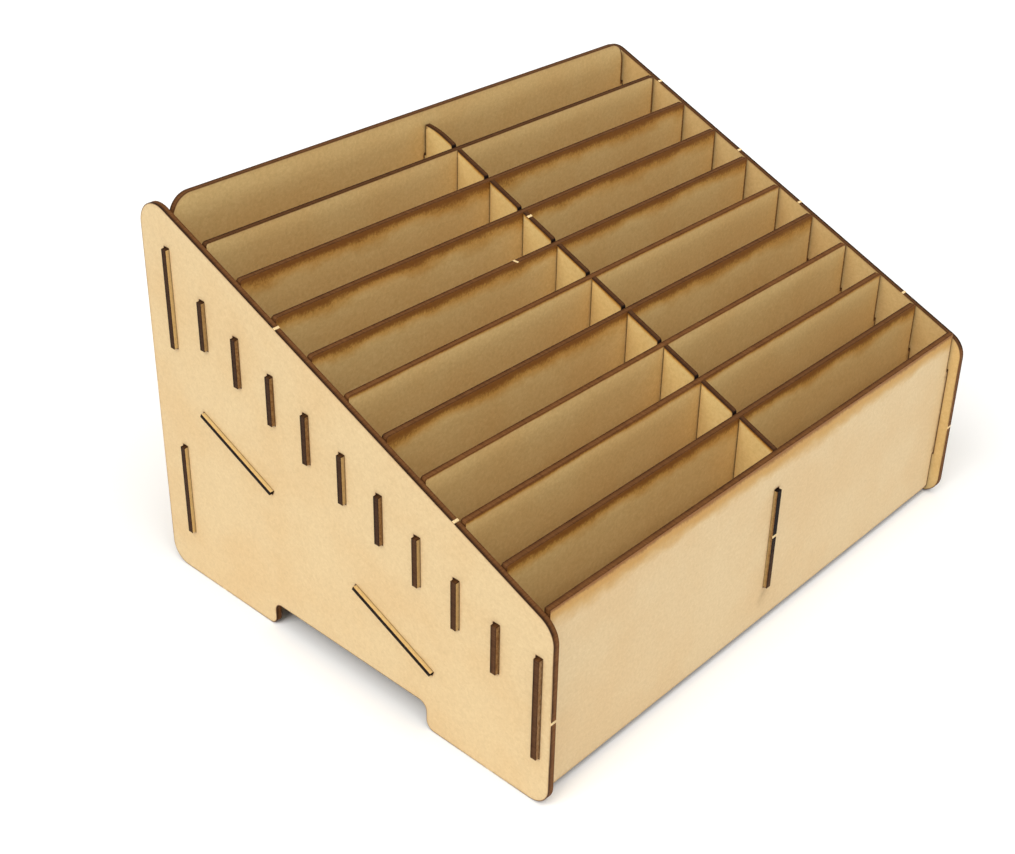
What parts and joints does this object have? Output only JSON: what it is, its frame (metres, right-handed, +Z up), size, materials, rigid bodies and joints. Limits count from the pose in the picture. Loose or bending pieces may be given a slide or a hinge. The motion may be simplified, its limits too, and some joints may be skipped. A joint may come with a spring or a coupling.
{
  "type": "sloped slotted desk organiser",
  "caption": "Flat-pack fibreboard organiser with a rising sloped top, tab-and-slot joints, cross dividers and a centre divider over a sloped floor",
  "frame": {"origin": "on the ground, under the middle of the whole object's bounding box", "axes": "+Z up; X runs across the width, from the left side panel (-X) to the right one (+X); +Y points from the low front to the tall back"},
  "size_m": [0.3116, 0.24, 0.1925],
  "materials": {
    "side_board": "raw laser-cut fibreboard, pale tan face with charred dark brown cut edges",
    "front_board": "raw laser-cut fibreboard, pale tan face with light scorch below the cut edges",
    "inner_board": "raw laser-cut fibreboard, golden brown face with smoke-darkened top edges",
    "centre_board": "raw laser-cut fibreboard, golden tan face with charred cut edges"
  },
  "bodies": {
    "root": {"side_panel_left": "side_board", "side_panel_right": "side_board", "front_panel": "front_board", "back_panel": "inner_board", "floor_panel": "inner_board", "centre_divider": "centre_board", "divider_1": "inner_board", "divider_2": "inner_board", "divider_3": "inner_board", "divider_4": "inner_board", "divider_5": "inner_board", "divider_6": "inner_board", "divider_7": "inner_board", "divider_8": "inner_board", "divider_9": "inner_board"}
  },
  "joints": []
}
